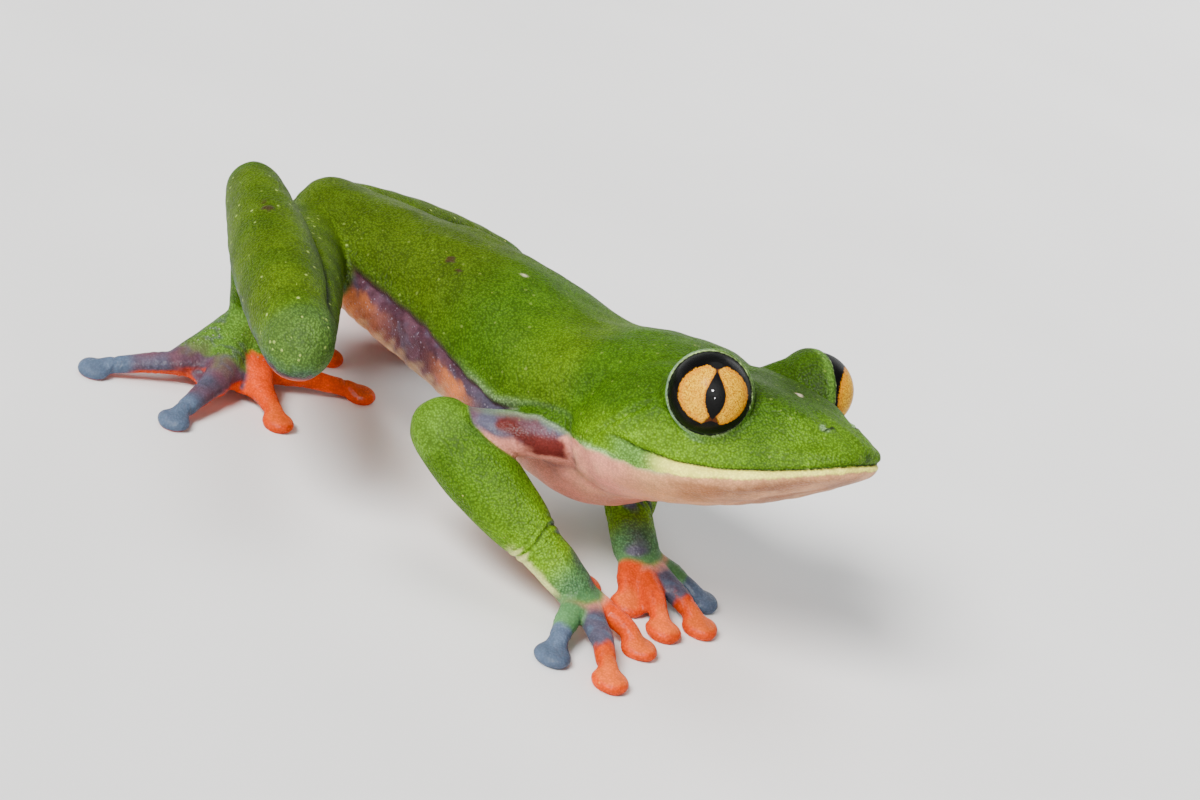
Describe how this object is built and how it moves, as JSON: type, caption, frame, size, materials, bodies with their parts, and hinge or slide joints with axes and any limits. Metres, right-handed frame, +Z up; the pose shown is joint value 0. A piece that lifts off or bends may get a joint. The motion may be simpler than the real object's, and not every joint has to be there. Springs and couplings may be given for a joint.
{
  "type": "golden-eyed leaf frog",
  "caption": "Still life-size model of a golden-eyed green leaf frog standing on four spread feet, head raised, hands close together in front.",
  "frame": {"origin": "on the floor, below the middle of the frog's outline seen from above", "axes": "+X the way the frog faces, +Y to the frog's left, +Z up"},
  "size_m": [0.075, 0.0636, 0.0307],
  "materials": {
    "green": "moist fine-grained leaf-green skin",
    "flank": "purple-blue granular skin",
    "orange": "smooth orange skin of the inner digits and webs",
    "blue": "smooth blue-grey skin of the outer digits and discs",
    "throat": "pinkish cream throat skin",
    "iris": "wet glossy eye with a golden-orange iris, black rim and upright slit pupil"
  },
  "bodies": {
    "root": {"eye_left": "iris", "eye_right": "iris", "finger_left_1": "orange", "finger_left_2": "orange", "finger_left_3": "blue", "finger_left_4": "blue", "finger_right_1": "orange", "finger_right_2": "orange", "finger_right_3": "blue", "finger_right_4": "blue", "foot_left": "orange", "foot_right": "orange", "forearm_left": "green", "forearm_right": "green", "hand_left": "green", "hand_right": "green", "head": "green", "lower_jaw": "throat", "shank_left": "green", "shank_right": "green", "tarsus_left": "green", "tarsus_right": "green", "thigh_left": "green", "thigh_right": "green", "toe_left_1": "orange", "toe_left_2": "orange", "toe_left_3": "orange", "toe_left_4": "blue", "toe_left_5": "blue", "toe_right_1": "orange", "toe_right_2": "orange", "toe_right_3": "orange", "toe_right_4": "blue", "toe_right_5": "blue", "trunk": "green", "upper_arm_left": "flank", "upper_arm_right": "flank"}
  },
  "joints": []
}
